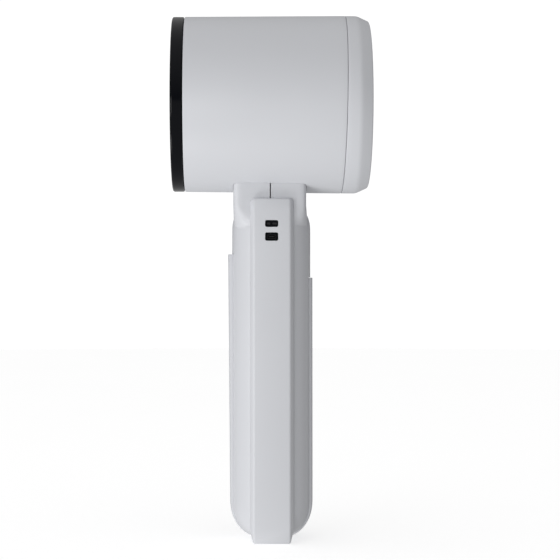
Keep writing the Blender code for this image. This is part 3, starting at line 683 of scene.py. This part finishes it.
def make_windows():
    """A smoked pane with two small lamps in it, and a charging socket with a metal shell."""
    z, width, height = WINDOWS["upper"]
    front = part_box("indicator_window")[0].y
    outline = rounded_rectangle(width / 2 - PANE_GAP, height / 2 - PANE_GAP, PANE_CORNER,
                                (WINDOW_X, z))
    pane = prism("indicator_pane", outline, front, front + PANE_THICK, "Y")
    for i in (1, 2):
        low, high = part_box(f"indicator_led_{i}")
        middle = ((low.x + high.x) / 2, z)
        half = ((high.x - low.x) / 2, LAMP_HALF_Z)
        hole = rounded_rectangle(half[0] + LAMP_GAP, half[1] + LAMP_GAP, LAMP_CORNER, middle)
        combine(pane, [prism("lamp_hole", hole, front - MM, front + 2 * MM, "Y")])
        outline = rounded_rectangle(*half, LAMP_CORNER, middle)
        lamp = prism(f"indicator_lamp_{i}", outline, front, high.y, "Y")
        dress(lamp, "lens", "housing", "led_lens", f"indicator_led_{i}")
    dress(pane, "window", "housing", "smoke_plastic", "indicator_window")

    low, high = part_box("charge_socket")
    middle = ((low.x + high.x) / 2, (low.z + high.z) / 2)
    half = ((high.x - low.x) / 2 + PANE_GAP, (high.z - low.z) / 2 + PANE_GAP)
    body = prism("socket_body", rounded_rectangle(*half, PANE_CORNER, middle), low.y, high.y, "Y")
    wide, tall = SOCKET_HALF
    way = rounded_rectangle(wide + SOCKET_GAP, tall + SOCKET_GAP, SOCKET_WAY_CORNER, middle)
    combine(body, [prism("socket_way", way, low.y - MM, high.y - 0.8 * MM, "Y")])
    dress(body, "window", "housing", "black_plastic", "charge_socket")
    outline = rounded_rectangle(wide, tall, SOCKET_CORNER, middle)
    shell = prism("socket_shell", outline, low.y, high.y - MM, "Y")
    mouth = rounded_rectangle(wide - SOCKET_WALL, tall - SOCKET_WALL, MOUTH_CORNER, middle)
    combine(shell, [prism("socket_mouth", mouth, low.y - MM, high.y - 1.4 * MM, "Y")])
    dress(shell, "socket", "housing", "steel", "charge_socket")
    wide, tall = TONGUE_HALF
    tongue = block("socket_tongue", (middle[0] - wide, low.y + 0.5 * MM, middle[1] - tall),
                   (middle[0] + wide, high.y - 1.5 * MM, middle[1] + tall), 0.04 * MM)
    dress(tongue, "black", "housing", "black_plastic", "charge_socket")


# ---------------------------------------------------------------- studio

CAMERA_AZIMUTH = math.radians(-1.3)
CAMERA_DISTANCE = 573 * MM
CAMERA_LENS = 107.9
CAMERA_TARGET = Vector((3.3 * MM, 0, 88.0 * MM))
ROOM_SEEN = 1.05
ROOM_TOP = 0.88
ROOM_BELOW = 0.52
FLOOR_R = 1.6
FLOOR_GLOW = 0.48
LIGHT_AIM = Vector((0, 0, 100 * MM))
LIGHTS = {
    "low_key": ((-0.55, -0.45, -0.70), 0.4, 3.8),
    "left_key": ((-0.90, -0.75, 0.02), 0.4, 2.2),
    "front_key": ((-0.55, -1.00, 0.05), 0.4, 3.3),
}


def make_world():
    """A soft white room, brightest overhead; the camera sees it plain white."""
    world = bpy.data.worlds.new("studio")
    bpy.context.scene.world = world
    world.use_nodes = True
    tree = world.node_tree
    tree.nodes.clear()
    add = tree.nodes.new
    coords = add("ShaderNodeTexCoord")
    split = add("ShaderNodeSeparateXYZ")
    level = add("ShaderNodeMapRange")
    level.inputs["To Max"].default_value = ROOM_TOP
    below = add("ShaderNodeMath")
    below.operation = "LESS_THAN"
    below.inputs[1].default_value = 0
    total = add("ShaderNodeMath")
    total.operation = "MULTIPLY_ADD"
    total.inputs[1].default_value = ROOM_BELOW
    path = add("ShaderNodeLightPath")
    room, seen = add("ShaderNodeBackground"), add("ShaderNodeBackground")
    mix, output = add("ShaderNodeMixShader"), add("ShaderNodeOutputWorld")
    for background in (room, seen):
        background.inputs["Color"].default_value = (1, 1, 1, 1)
    seen.inputs["Strength"].default_value = ROOM_SEEN
    for source, target in ((coords.outputs["Generated"], split.inputs[0]),
                           (split.outputs["Z"], level.inputs[0]),
                           (split.outputs["Z"], below.inputs[0]),
                           (below.outputs[0], total.inputs[0]), (level.outputs[0], total.inputs[2]),
                           (total.outputs[0], room.inputs["Strength"]),
                           (path.outputs["Is Camera Ray"], mix.inputs[0]),
                           (room.outputs[0], mix.inputs[1]), (seen.outputs[0], mix.inputs[2]),
                           (mix.outputs[0], output.inputs[0])):
        tree.links.new(source, target)


def make_floor():
    bm = bmesh.new()
    bmesh.ops.create_circle(bm, cap_ends=True, radius=FLOOR_R, segments=96)
    floor = finish_mesh("floor", bm)
    floor.location.z = -0.02 * MM
    nodes = Nodes("pale_floor")
    nodes.link(nodes.tint(nodes.noise(4), (0.86, 0.86, 0.86), (0.88, 0.88, 0.88)), "Base Color")
    nodes.set(Roughness=0.9, Emission_Color=(1, 1, 1, 1), Emission_Strength=FLOOR_GLOW)
    floor.data.materials.append(nodes.material)
    floor.visible_shadow = floor.visible_diffuse = floor.visible_glossy = False


def make_light(name, place, size, watts):
    light = bpy.data.lights.new(name, "AREA")
    light.size = size
    light.energy = watts
    made = bpy.data.objects.new(name, light)
    made.location = place
    aim = LIGHT_AIM - made.location
    made.rotation_euler = aim.to_track_quat("-Z", "Y").to_euler()
    bpy.context.scene.collection.objects.link(made)


def make_camera():
    camera = bpy.data.cameras.new("camera")
    camera.lens = CAMERA_LENS
    made = bpy.data.objects.new("camera", camera)
    back = Vector((math.sin(CAMERA_AZIMUTH), -math.cos(CAMERA_AZIMUTH), 0))
    made.location = CAMERA_TARGET + back * CAMERA_DISTANCE
    made.rotation_euler = (math.pi / 2, 0, CAMERA_AZIMUTH)
    bpy.context.scene.collection.objects.link(made)
    bpy.context.scene.camera = made


def make_studio():
    bpy.context.scene.view_settings.view_transform = "Standard"
    make_world()
    make_floor()
    for name, (place, size, watts) in LIGHTS.items():
        make_light(name, place, size, watts)
    make_camera()


dress_frame()
make_barrel()
make_cap()
make_ring()
make_foil()
make_spring()
make_shells()
make_pads()
make_trims()
make_button()
make_windows()
make_studio()
